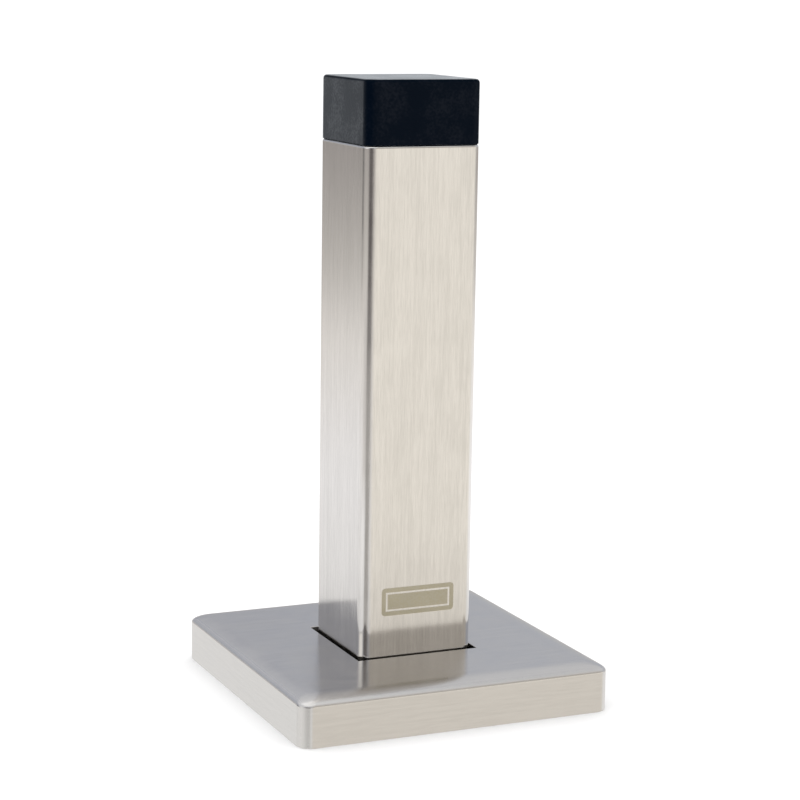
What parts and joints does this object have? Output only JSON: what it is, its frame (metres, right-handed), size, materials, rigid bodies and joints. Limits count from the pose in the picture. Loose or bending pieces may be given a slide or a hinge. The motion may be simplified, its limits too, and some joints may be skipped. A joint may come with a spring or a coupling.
{
  "type": "square post door stop",
  "caption": "Square steel post on a square base with a black rubber end; a cover slides down the post to hide the fixing plate.",
  "frame": {"origin": "centre of the base's underside, in the plane that meets the floor or wall", "axes": "+Z along the post from the base to the rubber end; X and Y square to the sides of the base"},
  "size_m": [0.0512, 0.0512, 0.0962],
  "materials": {
    "satin_stainless": "satin brushed stainless steel, grain along the post",
    "zinc_plate": "bright zinc plated steel",
    "cast_aluminium": "as cast, dull",
    "spring_steel": "tempered spring strip",
    "aluminium": "plain",
    "black_rubber": "matt moulded rubber"
  },
  "bodies": {
    "post_and_plate": {"mounting_plate": "zinc_plate", "post_tube": "satin_stainless", "foot_insert": "cast_aluminium", "post_screw_1": "zinc_plate", "post_screw_2": "zinc_plate", "cover_clip_right": "spring_steel", "cover_clip_back": "spring_steel", "cover_clip_left": "spring_steel", "cover_clip_front": "spring_steel", "clip_rivet_right": "aluminium", "clip_rivet_back": "aluminium", "clip_rivet_left": "aluminium", "clip_rivet_front": "aluminium"},
    "cover": {"base_cover": "satin_stainless"},
    "buffer": {"rubber_buffer": "black_rubber"}
  },
  "joints": [
    {"name": "cover_lift", "type": "slide", "parent": "post_and_plate", "child": "cover", "axis": [0, 0, 1], "range_m": [0, 0.12]},
    {"name": "buffer_pull", "type": "slide", "parent": "post_and_plate", "child": "buffer", "axis": [0, 0, 1], "range_m": [0, 0.016]}
  ]
}
